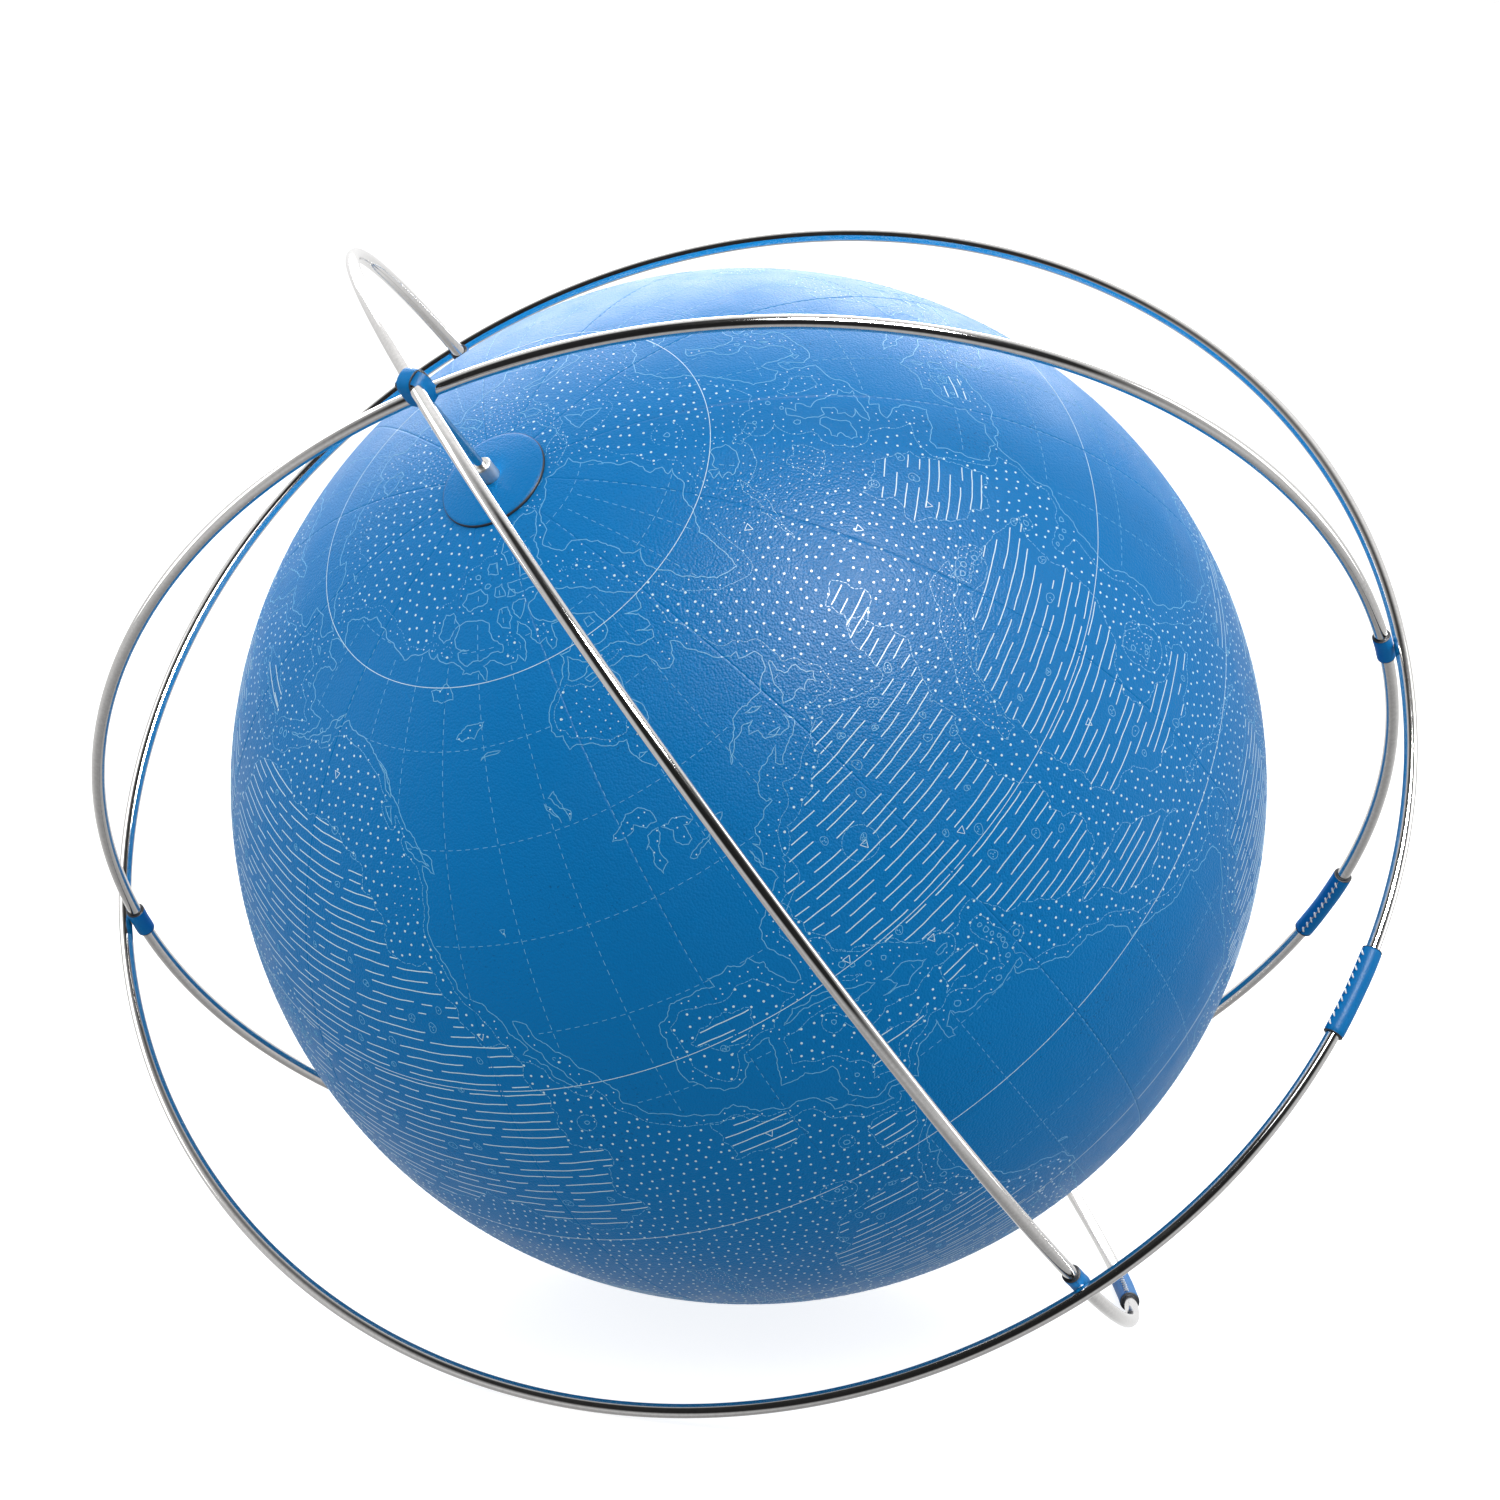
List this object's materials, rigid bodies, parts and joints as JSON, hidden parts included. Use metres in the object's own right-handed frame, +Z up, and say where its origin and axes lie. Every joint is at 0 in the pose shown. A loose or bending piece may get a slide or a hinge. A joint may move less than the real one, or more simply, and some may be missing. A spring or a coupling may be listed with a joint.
{
  "type": "desk globe",
  "caption": "Leather-covered world globe that turns on a slanted axis inside a cage of round steel rod rings tied with leather, which stands on the rings.",
  "frame": {"origin": "on the table, straight below the centre of the ball", "axes": "+Z up, away from the table; -Y towards the side that shows the north pole pin"},
  "size_m": [0.3776, 0.3808, 0.304],
  "materials": {
    "globe_leather": "fine pebble grain, semi-matt",
    "trim_leather": "smooth, semi-matt, dark painted edges",
    "ring_steel": "bright, lightly brushed along the rod",
    "fitting_steel": "satin",
    "shell_plastic": "moulded",
    "thread": "waxed thread",
    "print": "fine silver-white foil print"
  },
  "bodies": {
    "stand": {"axis_pin_north": "fitting_steel", "axis_pin_south": "fitting_steel", "crossing_pin_right": "fitting_steel", "crossing_pin_left": "fitting_steel", "crossing_pin_front": "fitting_steel", "crossing_pin_rear": "fitting_steel", "inner_ring": "ring_steel", "inner_ring_joint_pin": "fitting_steel", "middle_ring": "ring_steel", "middle_ring_joint_pin": "fitting_steel", "outer_ring": "ring_steel", "outer_ring_joint_pin": "fitting_steel", "inner_ring_sleeve": "trim_leather", "inner_ring_stitching": "thread", "middle_ring_sleeve": "trim_leather", "middle_ring_stitching": "thread", "outer_ring_sleeve": "trim_leather", "outer_ring_stitching": "thread", "crossing_wrap_right": "trim_leather", "crossing_wrap_left": "trim_leather", "crossing_wrap_front": "trim_leather", "crossing_wrap_rear": "trim_leather", "pole_lashing_north": "trim_leather", "pole_lashing_south": "trim_leather"},
    "globe": {"north_shell": "shell_plastic", "south_shell": "shell_plastic", "equator_band": "shell_plastic", "leather_gore_01": "globe_leather", "leather_gore_02": "globe_leather", "leather_gore_03": "globe_leather", "leather_gore_04": "globe_leather", "leather_gore_05": "globe_leather", "leather_gore_06": "globe_leather", "leather_gore_07": "globe_leather", "leather_gore_08": "globe_leather", "leather_gore_09": "globe_leather", "leather_gore_10": "globe_leather", "leather_gore_11": "globe_leather", "leather_gore_12": "globe_leather", "polar_cap_north": "globe_leather", "bearing_collar_north": "fitting_steel", "collar_washer_north": "fitting_steel", "collar_nut_north": "fitting_steel", "polar_cap_south": "globe_leather", "bearing_collar_south": "fitting_steel", "collar_washer_south": "fitting_steel", "collar_nut_south": "fitting_steel"}
  },
  "joints": [
    {"name": "globe_spin", "type": "hinge", "parent": "stand", "child": "globe", "pos_m": [0, 0, 0.152], "axis": [-0.4862, -0.5655, 0.6661], "continuous": true}
  ]
}
